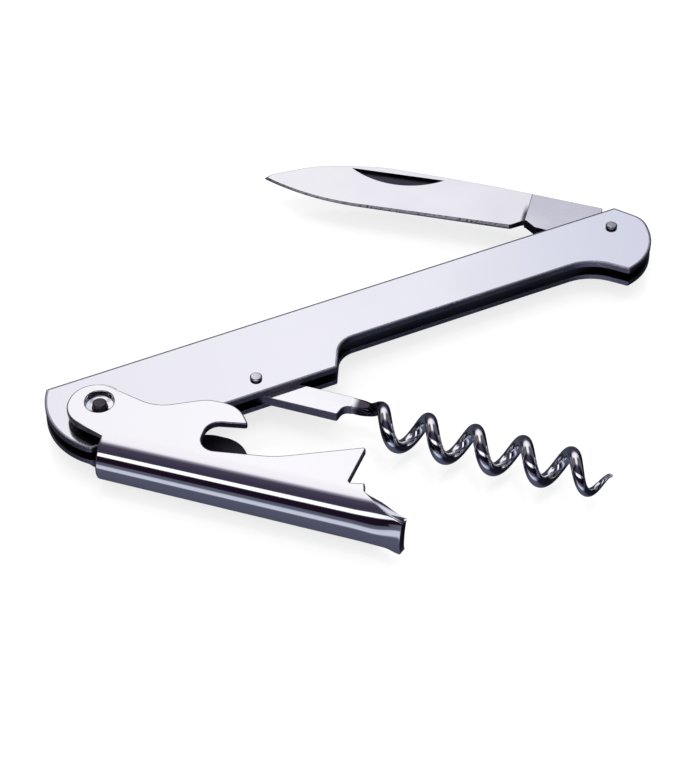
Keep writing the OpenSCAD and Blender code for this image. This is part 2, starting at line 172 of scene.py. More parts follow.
# a flat plate: rings run round the outline and flat faces fill it; holes are loops of points,
# either with a straight wall through the plate or (blind) open in the upper face only
def sheet(outline, outs, rings, holes=(), blind=(), slots=(0, 1, 2)):
    upperSlot, wallSlot, lowerSlot = slots
    count = len(outline)
    unit = outs / np.maximum(np.linalg.norm(outs, axis=1), 1e-9)[:, None]

    def column(value):  # a ring's value, the same for all points or one for each
        return np.broadcast_to(value, count)[:, None]
    points, normals = [], []
    for inset, z, out, up in rings:
        points.append(np.hstack([outline - outs * column(inset), column(z)]))
        normals.append(np.hstack([unit * column(out), column(up)]))
    faces = gridFaces(len(rings), count, closedColumns=True)
    low, high = np.min(rings[0][1]), np.max(rings[-1][1])
    upperLoops = [np.arange(count) + (len(rings) - 1) * count]
    lowerLoops = [np.arange(count)]
    start = len(rings) * count
    for loop, through in [(h, True) for h in holes] + [(b, False) for b in blind]:
        n = len(loop)
        for z in ((low, high) if through else (high,)):
            points.append(np.column_stack([loop, np.full(n, z)]))
            normals.append(np.tile([0, 0, 1 if z == high else -1], (n, 1)))
        if through:
            lowerLoops.append(np.arange(n) + start)
            faces += gridFaces(2, n, closedColumns=True, start=start, flip=True)
            start += n
        upperLoops.append(np.arange(n) + start)
        start += n
    points, normals = np.concatenate(points), np.concatenate(normals).astype(float)
    materials = [wallSlot] * len(faces)
    for loops, lower in ((lowerLoops, True), (upperLoops, False)):
        filled = fillLoops(points, loops, lower)
        faces += filled
        materials += [lowerSlot if lower else upperSlot] * len(filled)
    return points, faces, normals, materials


# triangles between loops of point numbers, facing up or down
def fillLoops(points, loops, down):
    flat = np.concatenate(loops)
    rings = [[Vector((points[i][0], points[i][1], 0)) for i in ring] for ring in loops]
    faces = []
    for tri in tessellate_polygon(rings):
        a, b, c = (int(flat[i]) for i in tri)
        turn = np.cross(points[b][:2] - points[a][:2], points[c][:2] - points[a][:2])
        if abs(turn) > 1e-9:
            faces.append([a, b, c] if (turn > 0) != down else [a, c, b])
    return faces


# a part turned over, as the lower cheek and plate mirror the upper ones
def mirrored(part):
    points, faces, normals, slots = part
    return points * [1, 1, -1], [face[::-1] for face in faces], normals * [1, 1, -1], slots


# several parts as one
def joined(*parts):
    points, faces, normals, slots, start = [], [], [], [], 0
    for p, f, n, s in parts:
        points.append(p)
        normals.append(n)
        faces += [[int(i) + start for i in face] for face in f]
        slots += list(s)
        start += len(p)
    return np.concatenate(points), faces, np.concatenate(normals), slots


# gives a piece its finishes, ties it to its body and hides the node that it stands for
def dress(piece, body, node, finishes):
    for finish in finishes:
        piece.data.materials.append(finish)
    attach(piece, body)
    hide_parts(node)


print("tools ready")


# a node group with the sockets that it takes and gives; None stands for a vector
def newGroup(name, inputs, outputs):
    group = bpy.data.node_groups.new(name, "ShaderNodeTree")
    for socket, value in inputs.items():
        kind = "NodeSocketColor" if isinstance(value, tuple) else "NodeSocketFloat"
        if value is None:
            kind = "NodeSocketVector"
        made = group.interface.new_socket(socket, in_out="INPUT", socket_type=kind)
        if value is not None:
            made.default_value = value
    for socket, kind in outputs.items():
        group.interface.new_socket(socket, in_out="OUTPUT", socket_type=kind)
    return group, group.nodes.new("NodeGroupInput").outputs, group.nodes.new("NodeGroupOutput").inputs


# a node with its settings, and its inputs linked to sockets or set to values
def addNode(tree, kind, inputs=None, **settings):
    node = tree.nodes.new(kind)
    for key, value in settings.items():
        setattr(node, key, value)
    for key, value in (inputs or {}).items():
        if isinstance(value, bpy.types.NodeSocket):
            tree.links.new(value, node.inputs[key])
        else:
            node.inputs[key].default_value = value
    return node


# short forms of the nodes that are used most; each gives the socket that holds its result
def maths(tree, operation, *values):
    return addNode(tree, "ShaderNodeMath", dict(enumerate(values)), operation=operation).outputs[0]


def vectorMaths(tree, operation, a, b):
    node = addNode(tree, "ShaderNodeVectorMath", {0: a, 1: b}, operation=operation)
    return node.outputs["Value" if operation == "DOT_PRODUCT" else "Vector"]


# 0 to 1 as a value runs from low to high
def mapped(tree, value, low, high, **settings):
    inputs = {"Value": value, "From Min": low, "From Max": high}
    return addNode(tree, "ShaderNodeMapRange", inputs, **settings).outputs[0]


def mixed(tree, share, a, b, blend="MIX"):
    mix = addNode(tree, "ShaderNodeMix", {"Factor": share, "A": a, "B": b}, data_type="RGBA",
                  blend_type=blend)
    return mix.outputs["Result"]


def noise(tree, place, scale, detail, roughness=0.5):
    inputs = {"Vector": place, "Scale": scale, "Detail": detail, "Roughness": roughness}
    return addNode(tree, "ShaderNodeTexNoise", inputs).outputs[0]


# fine hair scratches and smears: noise stretched along one direction, for bump and roughness
def makeHairScratches():
    group, given, result = newGroup(
        "hairScratches",
        {"Vector": None, "Length scale": 60.0, "Across scale": 3000.0, "Strength": 0.3, "Smear": 0.3,
         "Roughness": 0.1},
        {"Roughness": "NodeSocketFloat", "Height": "NodeSocketFloat"})
    size = addNode(group, "ShaderNodeCombineXYZ", {
        0: given["Length scale"], 1: given["Across scale"], 2: given["Across scale"]})
    hair = noise(group, vectorMaths(group, "MULTIPLY", given["Vector"], size.outputs[0]), 1.0, 3.0)
    smear = mapped(group, noise(group, given["Vector"], 90.0, 4.0, 0.6), 0.35, 0.7)
    more = maths(group, "MULTIPLY", smear, given["Smear"])
    rough = maths(group, "MULTIPLY_ADD", more, given["Roughness"], given["Roughness"])
    group.links.new(rough, result["Roughness"])
    group.links.new(maths(group, "MULTIPLY", hair, given["Strength"]), result["Height"])
    return group


# a metal's colour under an uneven film: cloudy patches, and specks where the cut surface is torn
def makeTintedFilm():
    group, given, result = newGroup(
        "tintedFilm",
        {"Vector": None, "Color": (0.9, 0.9, 0.95, 1.0), "Film": (0.8, 0.8, 0.9, 1.0), "Amount": 0.2,
         "Scale": 40.0, "Specks": 0.0, "Speck scale": 2500.0},
        {"Color": "NodeSocketColor"})
    cloud = maths(group, "MULTIPLY", noise(group, given["Vector"], given["Scale"], 3.0), given["Amount"])
    grain = mapped(group, noise(group, given["Vector"], given["Speck scale"], 1.0), 0.55, 0.68)
    share = maths(group, "MULTIPLY_ADD", grain, given["Specks"], cloud)
    group.links.new(mixed(group, share, given["Color"], given["Film"]), result["Color"])
    return group


# blends one colour into another along a piece's own attribute
def makeAlongBlend():
    group, given, result = newGroup(
        "alongBlend",
        {"Share": 0.0, "Color": (0.9, 0.9, 0.9, 1.0), "Far color": (0.3, 0.3, 0.35, 1.0)},
        {"Color": "NodeSocketColor"})
    share = mapped(group, given["Share"], 0.0, 1.0, interpolation_type="SMOOTHSTEP")
    group.links.new(mixed(group, share, given["Color"], given["Far color"]), result["Color"])
    return group


# paints a zone of a flat face with painted shade or a painted highlight, measured in millimetres along
# and across the piece from its pin; a reversed range fades the other way
def makePaintedLightZone():
    group, given, result = newGroup(
        "paintedLightZone",
        {"Vector": None, "Pin": None, "Along": None, "Across": None, "Color": (0.9, 0.9, 0.9, 1.0),
         "Zone color": (0.1, 0.1, 0.12, 1.0), "Along start": 0.0, "Along end": 1.0,
         "Across start": 0.0, "Across end": 1.0},
        {"Color": "NodeSocketColor"})
    offset = vectorMaths(group, "SUBTRACT", given["Vector"], given["Pin"])
    masks = []
    for axis in ("Along", "Across"):
        reach = vectorMaths(group, "DOT_PRODUCT", offset, given[axis])
        masks.append(mapped(group, reach, given[axis + " start"], given[axis + " end"]))
    share = maths(group, "MULTIPLY", *masks)
    group.links.new(mixed(group, share, given["Color"], given["Zone color"]), result["Color"])
    return group


# a pin's end and its wall: the end keeps its colour, and the wall, told by its normal, is painted dark as
# painted shade
def makePinFaces():
    group, given, result = newGroup(
        "pinFaces", {"Normal": None, "End": (0.5, 0.5, 0.55, 1.0), "Wall": (0.05, 0.05, 0.06, 1.0)},
        {"Color": "NodeSocketColor"})
    height = addNode(group, "ShaderNodeSeparateXYZ", {0: given["Normal"]}).outputs["Z"]
    share = mapped(group, maths(group, "ABSOLUTE", height), 0.3, 0.6)
    group.links.new(mixed(group, share, given["Wall"], given["End"]), result["Color"])
    return group


hairScratches = makeHairScratches()
tintedFilm = makeTintedFilm()
alongBlend = makeAlongBlend()
paintedLightZone = makePaintedLightZone()
pinFaces = makePinFaces()


# metal under a tinted film, with hair scratches that run along one direction
def metal(name, look, turn=0.0):
    mat = bpy.data.materials.new(name)
    mat.use_nodes = True
    tree = mat.node_tree
    bsdf = tree.nodes["Principled BSDF"]
    coord = addNode(tree, "ShaderNodeTexCoord")
    place = addNode(tree, "ShaderNodeMapping", {"Vector": coord.outputs["Object"],
                                                "Rotation": (0, 0, np.radians(turn))})
    hair = addNode(tree, "ShaderNodeGroup", node_tree=hairScratches)
    tint = addNode(tree, "ShaderNodeGroup", node_tree=tintedFilm)
    for group in (hair, tint):
        tree.links.new(place.outputs[0], group.inputs["Vector"])
    for socket, key, usual in (("Length scale", "along", 60.0), ("Across scale", "across", 3000.0),
                               ("Strength", "scratch", 0.5), ("Smear", "smear", 0.4),
                               ("Roughness", "roughness", 0.1)):
        hair.inputs[socket].default_value = look.get(key, usual)
    for socket, key, usual in (("Amount", "filmAmount", 0.25), ("Specks", "specks", 0.0)):
        tint.inputs[socket].default_value = look.get(key, usual)
    tint.inputs["Color"].default_value = (*look["color"], 1)
    tint.inputs["Film"].default_value = (*look["film"], 1)
    color = tint.outputs[0]
    if "farColor" in look:
        share = addNode(tree, "ShaderNodeAttribute", attribute_name=look["attribute"])
        blend = addNode(tree, "ShaderNodeGroup", {
            "Share": share.outputs["Fac"], "Color": color, "Far color": (*look["farColor"], 1)},
            node_tree=alongBlend)
        color = blend.outputs[0]
    relief = addNode(tree, "ShaderNodeBump", {"Height": hair.outputs["Height"], "Strength": look["bump"],
                                              "Distance": 0.0001})
    tree.links.new(color, bsdf.inputs["Base Color"])
    tree.links.new(hair.outputs["Roughness"], bsdf.inputs["Roughness"])
    tree.links.new(relief.outputs[0], bsdf.inputs["Normal"])
    bsdf.inputs["Metallic"].default_value = 1.0
    return mat


# the cut walls: a rough cut surface, painted darker as painted shade where the walls turn from the light
roughCutShade = {"color": (0.34, 0.335, 0.40), "film": (0.75, 0.75, 0.82), "roughness": 0.28, "scratch": 1.0,
           "smear": 0.6, "bump": 0.12, "across": 1500.0, "along": 1500.0, "specks": 0.35}
# inner faces, towards the gaps between plates and cheeks and inside the fold: painted near black as
# painted shade
innerShade = {"color": (0.05, 0.048, 0.062), "film": (0.11, 0.11, 0.13), "roughness": 0.42, "scratch": 0.6,
             "smear": 0.5, "bump": 0.03}
roughCutShadeMetal = metal("roughCutShade", roughCutShade)
innerShadeMetal = metal("innerShade", innerShade)
print("finishes ready")

handle = {"bladePinX": 95.0, "bladePinY": 4.2, "backY": 8.3, "frontY": 6.7, "butt": 7.69,
          "head": 6.19, "gripY": -1.36, "notchX": 43.4, "headY": 10.55, "slot": 1.88, "thick": 1.1,
          "faceEdge": 0.2, "edgeSpread": 2.2, "innerEdge": 0.05,
          "chrome": {"color": (0.905, 0.90, 0.955), "film": (0.85, 0.845, 0.92), "roughness": 0.11,
                     "scratch": 0.5, "smear": 0.5, "bump": 0.012}}


# a side plate's corners as [x, y, radius]: butt, front edge, notch, grip, and the rounded head
def plateCorners(h):
    x, y = h["bladePinX"], h["bladePinY"]
    return [[-h["butt"] + 1.5, h["backY"], 0.4], [-h["butt"] - 3.2, 0, 12.4],
            [-h["butt"] + 3.5, -h["frontY"], 0.8], [h["notchX"] - 5.05, -h["frontY"], 0.3],
            [h["notchX"] - 2.2, h["gripY"], 4], [x - 7.1, h["gripY"], 9], [x - 2.3, y - h["headY"], 0.5],
            [x + h["head"] - 1.7, y - 8.7, 9.5], [x + h["head"], y - 0.45, 4],
            [x + h["head"] - 3.3, h["backY"], 0.4]]


plateOutline, plateOuts = roundedOutline(plateCorners(handle))
plateRings = edgeRings(handle["slot"] / 2, handle["slot"] / 2 + handle["thick"], handle["innerEdge"],
                       handle["faceEdge"], handle["edgeSpread"], steps=9)
upperPlate = sheet(plateOutline, plateOuts, plateRings)
plateMetal = metal("chromePlate", handle["chrome"])
# slot 1, the plates' walls, is painted darker as painted shade; slot 2, their inner faces, is painted
# near black as painted shade
for name, part in (("upper", upperPlate), ("lower", mirrored(upperPlate))):
    dress(makePiece(name + "Plate", part, leverPin), "handle", name + "_side_plate",
          (plateMetal, roughCutShadeMetal, innerShadeMetal))
print("plates done")

lever = {"open": 41.0, "length": 53.0, "thick": 1.1, "halfAtPin": 4.5, "halfAtFoot": 5.15,
         "foldX": 2.8, "foldY": 5.9, "slantY": -6.75, "flatten": 0.02,
         "ear": 4.65, "earOut": 0.2, "earY": -4.3, "notchX": 18.1, "notchY": -5.4, "notchH": 6.0,
         "hook": 6.2, "hookWidth": 4.65, "stepX": 43.4, "toothY": 2.3, "tabTop": (1.85, -4.97),
         "tabFoot": (2.25, -6.6), "edge": 0.26, "innerEdge": 0.05, "lipEdge": 0.1,
         "cutFrom": 8.0, "cutSlope": 0.123, "cutCurve": 0.00057, "bevel": 2.6, "bevelLoss": 2.0,
         "bevelRun": 8.0, "lipBevel": 0.4, "lipFrom": 56.0, "footLength": 3.2, "boxyAbove": 1.1,
         "boxyBelow": 0.7, "lean": 0.12,
         "dimple": 2.24, "dimpleRing": 1.45, "dimpleWall": 1.02, "underFlare": 0.18, "underBend": 0.3,
         "rim": 0.25, "flare": 0.06, "fillet": 0.08, "dimpleFloor": 2.12, "dish": 0.18,
         "plateau": 1.4, "bore": 1.2, "chamfer": 0.08, "underChamfer": 0.05, "sides": 96,
         "chrome": {"color": (0.985, 0.975, 0.995), "film": (0.955, 0.945, 0.985), "roughness": 0.05,
                    "scratch": 0.3, "smear": 0.4, "bump": 0.006}}


# half the lever's thickness, which grows from the pin to the foot
def leverHalf(x):
    return lever["halfAtPin"] + (lever["halfAtFoot"] - lever["halfAtPin"]) * x / lever["length"]


def tabX(y, v):  # the tab's end leans a little outwards, down to the cut towards the lip
    (topX, topY), (footX, footY) = v["tabTop"], v["tabFoot"]
    return v["stepX"] + topX + (footX - topX) * (topY - y) / (topY - footY)


def slantX(y, v):  # the blank's end slants from the fold up to the ear's left side
    rise = np.maximum(y - v["slantY"], 0) / (v["earY"] - v["slantY"])
    return v["foldX"] - (v["ear"] + v["earOut"] + v["foldX"]) * rise


# a cheek's corners as [x, y, radius]: the ear, the neck and bow, the cap lifter's hook and notch,
# and the tooth, step and tab at the foot
def flangeCorners(v):
    far, low, left = -v["foldY"], v["notchY"], -v["ear"] - v["earOut"]
    high = low + v["notchH"]
    top = high + v["hookWidth"]
    return [[slantX(far, v), far, 0], [left, v["earY"], v["ear"]], [left, v["ear"] + 0.19, v["ear"]],
            [v["notchX"] - 9.2, 1.5, 7], [v["notchX"] - 1.7, top, 6],
            [v["notchX"] + v["hook"] - 2.7, top - 0.05, 5], [v["notchX"] + v["hook"], high + 1.15, 0.35],
            [v["notchX"], high, 2.4], [v["notchX"], low, 2.4], [v["notchX"] + 12.2, -3.5, 15],
            [v["stepX"] + 0.1, v["toothY"], 0.4], [v["stepX"] - 0.65, -5.5, 0.3],
            [v["stepX"] + v["tabTop"][0], v["tabTop"][1], 0.2], [tabX(far, v), far, 0]]


# a closed ring of points at one radius
def circle(r, count):
    a = np.linspace(0, 2 * np.pi, count + 1)[:-1]
    return np.column_stack([r * np.cos(a), r * np.sin(a)])


# one cheek of the folded sheet: its seam on the fold is square, and it leans with the fold's taper
def flange(v, ringR):
    outline, outs = roundedOutline(flangeCorners(v))
    seam = outline[:, 1] < -v["foldY"] + 1e-6
    outs = outs.copy()
    outs[seam] = np.sign(outline[seam, :1] - v["length"] / 2) * np.array([1.0, 0])
    half = leverHalf(0)
    rings = edgeRings(half - v["thick"], half, v["innerEdge"], v["edge"])
    part = sheet(outline, outs, rings, holes=[circle(ringR, v["sides"])])
    part[0][:, 2] += leverHalf(part[0][:, 0]) - half
    return part


# the drawn dimple: a closed profile of radius and height carried round the pin. Its rim, the foot
# of its wall and the bend under it are quarter circles, its floor is dished down to a flat round
# the bore, and its ring follows the leaning cheek.
def dimple(v, ringR):
    half, floor, t, wall = leverHalf(0), v["dimpleFloor"], v["thick"], v["dimple"]
    rim, fillet, bend, under, sides = v["rim"], v["fillet"], v["underBend"], v["underChamfer"], v["sides"]
    q = np.radians(np.linspace(0, 90, 13))
    top, outside = floor + t, wall + v["dimpleWall"]
    over = np.column_stack([wall + v["flare"] + rim - rim * np.sin(q), half - rim + rim * np.cos(q)])
    foot = np.column_stack([wall - fillet + fillet * np.cos(q),
                            top + v["dish"] + fillet - fillet * np.sin(q)])
    flat = [[v["plateau"] + 0.1, top + 0.02], [v["plateau"], top]]
    hole = [[v["bore"] + v["chamfer"], top], [v["bore"], top - v["chamfer"]],
            [v["bore"], floor + under], [v["bore"] + under, floor]]
    back = np.column_stack([outside - bend + bend * np.sin(q), floor + bend - bend * np.cos(q)])
    brim = [[outside + v["underFlare"], half - t], [ringR, half - t]]
    profile = np.concatenate([[[ringR, half]], over, foot, flat, hole, back, brim])
    facing = 1 + len(over) + len(foot) + len(flat)
    slots = [0] * facing + [1] * len(hole) + [2] * (len(back) + len(brim))
    a = np.linspace(0, 2 * np.pi, sides + 1)[:-1]
    r, z = profile[:, :1], profile[:, 1:]
    x = r * np.cos(a)
    lift = (leverHalf(x) - half) * smoothStep(z, top, half - rim)
    lift[-2:] = leverHalf(x[-2:]) - half
    ring = np.stack([x, r * np.sin(a), z + lift], -1)
    tilt = gridNormals(ring, closedRows=True, closedColumns=True).reshape(ring.shape)
    tilt[:2] = [0, 0, 1]
    tilt[-1] = [0, 0, -1]
    return (ring.reshape(-1, 3), gridFaces(len(profile), sides, closedRows=True, closedColumns=True),
            tilt.reshape(-1, 3), np.repeat(slots, sides).tolist())


# the fold: half a tube whose radius grows along the lever. Towards the lip its section turns
# squarer, as a superellipse |y / r| ** p + |z / r| ** p = 1 with p above 2, and its top leans
# forward. A closed path runs along the outside, round the lip and back along the inside.
def foldShell(v):
    angle = np.radians(np.linspace(0, 180, 121))
    slopeX = v["stepX"] + v["tabFoot"][0]
    e, t, thin = v["edge"], v["thick"], v["lipEdge"]

    def section(x, depth):
        near = smoothStep(x, slopeX - 1, v["length"])
        above = v["boxyAbove"] * near ** 3
        below = v["boxyBelow"] * smoothStep(x, v["length"] - v["footLength"], v["length"] - 0.2)
        power = 2 / (2 + np.where(angle < np.pi / 2, above, below))
        r = leverHalf(x) - depth
        c = np.cos(angle)
        z = r * np.sign(c) * np.abs(c) ** power
        wide = r * (1 - v["flatten"] * x / v["length"])
        lean = v["lean"] * near * (np.clip(z, -1, 2.8) - 0.6) * smoothStep(angle, 0.2, 0.9)
        return -v["foldY"] - wide * np.sin(angle) ** power + lean, z

    first = np.full(len(angle), v["foldX"])
    for _ in range(30):  # the start follows the blank's slanting end
        first = (first + slantX(section(first, 0)[0], v)) / 2

    # the cut runs from the tab's foot round the fold to the lip; it is bevelled, so it reaches
    # further on the inside than on the outside, and the bevel widens on the way
    fromSeam = np.degrees(np.minimum(angle, np.pi - angle))
    onCut = fromSeam > v["cutFrom"]
    run = np.maximum(fromSeam - v["cutFrom"], 0)
    cutOut = np.minimum(slopeX + v["cutSlope"] * run + v["cutCurve"] * run ** 2,
                        v["length"] - v["lipBevel"])
    bevel = v["bevel"] - v["bevelLoss"] * np.exp(-run / v["bevelRun"])
    cutIn = np.minimum(cutOut + np.where(angle < np.pi / 2, bevel, v["lipBevel"]), v["length"])
    tabEnd = tabX(section(np.full(len(angle), slopeX), 0)[0], v)
    last = np.where(onCut, cutOut, tabEnd)
    past = np.where(onCut, cutIn, tabEnd)

    bow = np.radians(np.linspace(0, 90, 6))
    along = np.linspace(0, 1, 130)
    path = [(first + e + (last - first - 2 * e) * s, 0.0, 0) for s in along]
    path += [(last - e + e * np.sin(b), e - e * np.cos(b), 0) for b in bow[1:]]
    path += [(past - thin + thin * np.sin(b), t - thin + thin * np.cos(b), 0) for b in bow[::-1]]
    # the inside, slot 2, is painted near black as painted shade
    path += [(past - thin + (first - past + thin + e) * s, t, 2) for s in along[1:]]
    path += [(first + e - e * np.sin(b), t - e + e * np.cos(b), 1) for b in bow[1:]]
    path += [(first + e - e * np.sin(b), e - e * np.cos(b), 1) for b in bow[::-1][:-1]]
    points = []
    for x, depth, _ in path:
        y, z = section(x, depth)
        points.append(np.stack([x, y, z], -1))
    points = np.array(points)
    rows, columns = points.shape[:2]
    faces = gridFaces(rows, columns, closedRows=True)
    faces += [(np.arange(rows) * columns).tolist(),
              (np.arange(rows)[::-1] * columns + columns - 1).tolist()]
    slots = np.repeat([kind for _, _, kind in path], columns - 1).reshape(rows, -1)
    lipWall = len(along) + len(bow) - 2
    slots[lipWall, fromSeam[:-1] > v["lipFrom"]] = 1  # the lip's end keeps its cut face
    return (points.reshape(-1, 3), faces, gridNormals(points, closedRows=True),
            slots.ravel().tolist() + [2, 2])


ringR = lever["dimple"] + lever["dimpleRing"]
cheek = joined(flange(lever, ringR), dimple(lever, ringR))
leverPart = joined(cheek, mirrored(cheek), foldShell(lever))
leverPiece = makePiece("boxingLever", leverPart, leverPin, lever["open"])
# the lever's cut walls (slot 1) are painted darker and its inner faces (slot 2) near black, both as
# painted shade
dress(leverPiece, "lever", "boxing_lever",
      (metal("mirrorChrome", lever["chrome"], lever["open"]), roughCutShadeMetal, innerShadeMetal))
print("lever done")

worm = {"open": 42.435, "stock": 1.8, "outer": 7.58, "wire": 2.2, "pitch": 7.8, "turns": 5,
        "pointTurns": 0.8, "axisY": 1.86, "shank": 18.0, "shankY": 2.45, "straight": 2.3, "ramp": 3.0,
        "tang": 2.16, "edge": 0.12, "pointThin": 0.375, "tipRound": 0.26, "buried": 2.4, "sunk": 0.03,
        "proud": 0.004, "paintedNeckShade": (-2.2, -0.4, 2.4, 4.2),
        "plating": {"color": (0.975, 0.965, 0.99), "film": (0.93, 0.915, 0.97),
                    # farColor is painted shade: the neck is painted near black where its rounding turns
                    # from the light
                    "farColor": (0.07, 0.065, 0.085), "attribute": "paintedNeckShadeShare", "roughness": 0.07,
                    "scratch": 0.3, "smear": 0.5, "bump": 0.01}}


# the wire's centre line: a helix (x, r cos a, r sin a) whose turning picks up speed evenly over a
# short ramp. Towards the tip the wire is thinned from inside the coil first, and then the coil's
# radius falls with the cube of the way to the tip, until it closes on its axis.
def wireCentre(x, w):
    curlX = w["shank"] + w["straight"]
    d = x - curlX + w["ramp"] / 2
    run = np.where(d <= 0, 0, np.where(d < w["ramp"], d * d / (2 * w["ramp"]), d - w["ramp"] / 2))
    angle = 2 * np.pi / w["pitch"] * run
    tip = curlX + w["turns"] * w["pitch"]
    taper = np.maximum(0, 1 + (x - tip) / (w["pointTurns"] * w["pitch"]))
    thinned = w["pointThin"] * w["wire"] * taper ** 1.2
    r = (w["outer"] - w["wire"]) / 2 * (1 - taper ** 3) + thinned
    return np.stack([x, r * np.cos(angle) - w["axisY"], r * np.sin(angle)], -1), thinned


# a section that turns from the flat stock's rounded bar into round wire, carried along the helix;
# it starts inside the flat plate, sunk under its faces, and leaves it a hair proud of them
def wireTube(w):
    start, sides = w["shank"] - w["buried"], 48
    tip = w["shank"] + w["straight"] + w["turns"] * w["pitch"]
    cap = np.radians(np.linspace(0, 86, 12))
    x = np.concatenate([np.linspace(start, w["shank"] + 1, 24)[:-1],
                        np.linspace(w["shank"] + 1, tip - w["tipRound"], 640)[:-1],
                        tip - w["tipRound"] * (1 - np.sin(cap))])
    centre, thinned = wireCentre(x, w)
    along = wireCentre(x + 0.005, w)[0] - wireCentre(x - 0.005, w)[0]
    along /= np.linalg.norm(along, axis=1)[:, None]
    out = centre - np.stack([x, np.full_like(x, -w["axisY"]), np.zeros_like(x)], 1)
    out -= (out * along).sum(1)[:, None] * along
    out /= np.linalg.norm(out, axis=1)[:, None]
    up = np.cross(along, out)
    flat = 1 - smoothStep(x, w["shank"] - 1.6, w["shank"] + 1.2)
    close = np.ones_like(x)
    close[-len(cap):] = np.cos(cap)
    wide = (w["wire"] / 2 - thinned) * close
    high = wide * (1 - flat) + (w["stock"] / 2 + w["proud"]) * flat
    high -= w["sunk"] * (1 - smoothStep(x, start, start + 0.3))
    power = 2 / (2 + 5 * flat)  # a superellipse: exponent 7 on the bar, 2 on the wire
    a = np.linspace(0, 2 * np.pi, sides + 1)[:-1]
    c = np.sign(np.cos(a)) * np.abs(np.cos(a)) ** power[:, None]
    s = np.sign(np.sin(a)) * np.abs(np.sin(a)) ** power[:, None]
    points = (centre[:, None] + (wide[:, None] * c)[..., None] * out[:, None]
              + (high[:, None] * s)[..., None] * up[:, None])
    normals = gridNormals(points, closedColumns=True, flip=True)
    faces = gridFaces(len(x), sides, closedColumns=True, flip=True)
    faces.append(list(range(sides)))
    faces.append(list(range((len(x) - 1) * sides, len(x) * sides))[::-1])
    return points.reshape(-1, 3), faces, normals, [0] * len(faces)


# the flat shank with its tang, as a plate with rounded edges
def shankPlate(w):
    low = w["outer"] / 2 - w["wire"] - w["axisY"]
    back = w["outer"] / 2 - w["axisY"]
    corners = [[-w["tang"], back, 1.6], [-w["tang"], -w["tang"], 2.1], [3.4, -w["shankY"], 12],
               [w["shank"] - 3.5, -w["shankY"], 0.35], [w["shank"] - 3, low, 1.4],
               [w["shank"] - 1.7, low, 0.2], [w["shank"] - 1.7, back, 0.2]]
    outline, outs = roundedOutline(corners)
    return sheet(outline, outs, edgeRings(-w["stock"] / 2, w["stock"] / 2, w["edge"], w["edge"]),
                 slots=(0, 1, 0))


wormPart = joined(shankPlate(worm), wireTube(worm))
wormPiece = makePiece("wormAndShank", wormPart, pivots["worm_pivot"], worm["open"])
neckX = wormPart[0][:, 0] - worm["shank"]  # the neck is painted near black: painted shade where it bends down and mirrors the dark studio
clean, dark, fading, bright = worm["paintedNeckShade"]
paintedNeckShade = smoothStep(neckX, clean, dark) * (1 - smoothStep(neckX, fading, bright))
share = wormPiece.data.attributes.new(worm["plating"]["attribute"], "FLOAT", "POINT")
share.data.foreach_set("value", paintedNeckShade.astype(np.float32))
dress(wormPiece, "worm", "worm",
      (metal("wormPlating", worm["plating"], worm["open"]), roughCutShadeMetal))
print("worm done")

blade = {"open": 39.0, "length": 61.6, "back": 6.5, "edge": 3.98, "heel": 2.4, "tang": 4.08,
         "tangLength": 15.0, "stock": 1.8, "ground": 1.1, "bevel": 0.28, "bevelFrom": 1.6,
         "honedFrom": 2.4, "edgeThick": 0.25, "round": 0.1, "taper": 0.15, "tipTaper": 0.4,
         "tipTaperFrom": 30.0, "nickX": 39.0, "nickLength": 16.6, "nickHeight": 2.7, "nickDepth": 0.65,
         "nickTurn": -2.6, "grain": 129.0, "tangGrain": 75.0,
         "steel": {"color": (0.92, 0.905, 0.94), "film": (0.95, 0.92, 0.955), "roughness": 0.16,
                   "scratch": 1.0, "smear": 0.5, "bump": 0.02, "along": 90.0, "filmAmount": 0.5},
         "brushed": {"color": (0.76, 0.75, 0.82), "film": (0.86, 0.85, 0.90), "roughness": 0.24,
                     "scratch": 1.0, "smear": 0.5, "bump": 0.06, "along": 250.0, "filmAmount": 0.5},
         "honed": {"color": (0.70, 0.69, 0.76), "film": (0.10, 0.09, 0.12), "roughness": 0.22,
                   "scratch": 1.0, "smear": 0.6, "bump": 0.1, "across": 1500.0, "along": 1500.0,
                   "specks": 1.0, "filmAmount": 0.3},
         # the nick is painted dark: painted shade in its recess
         "nick": {"color": (0.20, 0.19, 0.25), "film": (0.3, 0.29, 0.35), "roughness": 0.3,
                  "scratch": 1.0, "smear": 0.4, "bump": 0.05},
         # plunge is painted shade, a dark strip at the grind's step; tangHighlight is a painted highlight
         # along the tang's lower border
         "plungeShade": {"color": (0.10, 0.09, 0.12), "along": (0.8, 0.3), "across": (3.6, 1.2)},
         "tangHighlight": {"color": (0.92, 0.905, 0.94), "along": (-4.5, -0.8), "across": (2.2, -1.5)}}


# the blade's outline: from the heel along the back to the point, along the edge and round the
# choil to the tang
def bladeOutline(b):
    x, y = b["length"], b["edge"]
    points, outs = roundedOutline([
        [b["heel"], 0, 0], [b["heel"], b["back"] - 0.95, 0.25], [22, b["back"], 40],
        [x - 19.6, b["back"] + 0.1, 30], [x - 8.4, b["back"] - 2.35, 20], [x - 1.1, 0.1, 2],
        [x, -1.1, 0], [x - 8.4, -0.29 - y, 43], [b["tangLength"] + 2, 1.43 - y, 1.2],
        [b["tangLength"] + 0.1, 3.4 - y, 0.8], [b["tangLength"] - 2.1, 1.75 - y, 0.4]], sag=0.002)
    k = int(np.argmin(np.abs(points - [b["heel"], 0]).sum(1)))
    reach = np.arccos(b["heel"] / b["tang"])
    a = np.linspace(reach, 2 * np.pi - reach, 90)  # the round tang replaces the heel's corner
    ring = np.column_stack([np.cos(a), np.sin(a)])
    return (np.concatenate([points[:k], b["tang"] * ring, points[k + 1:]]),
            np.concatenate([outs[:k], ring, outs[k + 1:]]))


